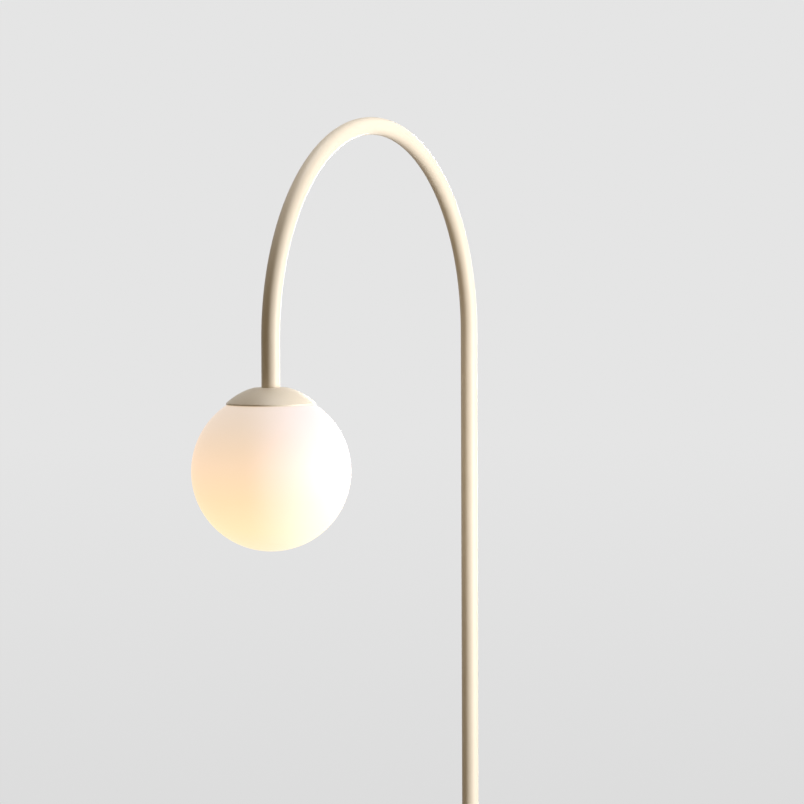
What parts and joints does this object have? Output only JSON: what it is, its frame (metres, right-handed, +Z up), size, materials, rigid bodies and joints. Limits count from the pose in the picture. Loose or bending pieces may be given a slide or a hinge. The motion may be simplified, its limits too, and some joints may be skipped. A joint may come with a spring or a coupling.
{
  "type": "arc floor lamp",
  "caption": "Slim tubular floor lamp whose pole bends over in a half-circle arch to a domed cap with a removable opal glass globe and a screw-in bulb, on a weighted disc base.",
  "frame": {"origin": "on the floor under the pole's axis, at the centre of the base's felt", "axes": "+Z up along the pole; the arch lies in the XZ plane with the globe towards -X; +Y completes the frame"},
  "size_m": [0.7325, 0.28, 1.4999],
  "materials": {
    "cream_paint": "satin cream powder coat",
    "opal_glass": "satin opal white glass",
    "cast_iron": "as cast, dark",
    "felt": "dense dark felt",
    "zinc_steel": "zinc plated",
    "spring_steel": "bright spring steel",
    "brass": "turned brass",
    "nickel": "nickel plated",
    "black_plastic": "black thermoset",
    "white_plastic": "white moulded",
    "diffuser_plastic": "milky diffuser",
    "rubber": "black rubber",
    "silicone": "translucent silicone",
    "flex_sheath": "white sheath",
    "lead_sheath": "brown insulation",
    "ceramic": "white steatite",
    "black_glass": "black glass",
    "board": "white solder mask",
    "board_green": "green solder mask",
    "led_phosphor": "yellow phosphor"
  },
  "bodies": {
    "stand": {"base_felt": "felt", "bottom_plate": "zinc_steel", "plate_screws": "zinc_steel", "base_weight": "cast_iron", "base_cover": "cream_paint", "base_socket": "zinc_steel", "base_bolts": "zinc_steel", "cord_bush": "rubber", "terminal_block": "white_plastic", "terminal_inserts": "brass", "terminal_screws": "zinc_steel", "switch_body": "black_plastic", "switch_screws": "zinc_steel", "switch_leads": "lead_sheath", "button_ring": "cream_paint", "ring_nut": "zinc_steel", "button_spring": "spring_steel", "pole_collar": "cream_paint", "lower_pole": "cream_paint", "pole_screws": "zinc_steel", "pole_coupler": "zinc_steel", "coupler_screws": "zinc_steel", "arch_tube": "cream_paint", "inner_flex": "flex_sheath", "arm_bush": "zinc_steel", "nipple": "zinc_steel", "globe_cap": "cream_paint", "toothed_washer": "zinc_steel", "lock_nut": "zinc_steel", "clip_carrier": "zinc_steel", "spring_clips": "spring_steel", "clip_rivets": "zinc_steel", "neck_gasket": "silicone", "holder_cap": "black_plastic", "holder_body": "black_plastic", "holder_block": "ceramic", "holder_screws": "zinc_steel", "holder_shell": "brass", "centre_contact": "brass"},
    "globe": {"glass_globe": "opal_glass"},
    "button": {"foot_button": "cream_paint"},
    "bulb_lift": {"bulb_contact": "nickel"},
    "bulb": {"bulb_insulator": "black_glass", "bulb_screw_shell": "nickel", "bulb_housing": "white_plastic", "bulb_dome": "diffuser_plastic", "led_board": "board", "led_chips": "led_phosphor", "driver_board": "board_green"}
  },
  "joints": [
    {"name": "globe_pull_off", "type": "slide", "parent": "stand", "child": "globe", "axis": [0, 0, -1], "range_m": [0, 0.155], "deforming": ["spring_clips"]},
    {"name": "button_press", "type": "slide", "parent": "stand", "child": "button", "axis": [0, 0, -1], "range_m": [0, 0.003], "stiffness_N_per_m": 1500, "springref_m": -0.002, "deforming": ["button_spring"]},
    {"name": "bulb_unscrew", "type": "hinge", "parent": "bulb_lift", "child": "bulb", "pos_m": [-0.5, 0, 1.0923], "axis": [0, 0, -1], "range_deg": [0, 1620]},
    {"name": "bulb_drop", "type": "slide", "parent": "stand", "child": "bulb_lift", "axis": [0, 0, -1], "range_m": [0, 0.01633]}
  ],
  "couplings": [
    {"joint": "bulb_unscrew", "follows": "bulb_drop", "rad_per_m": 1731.4}
  ]
}
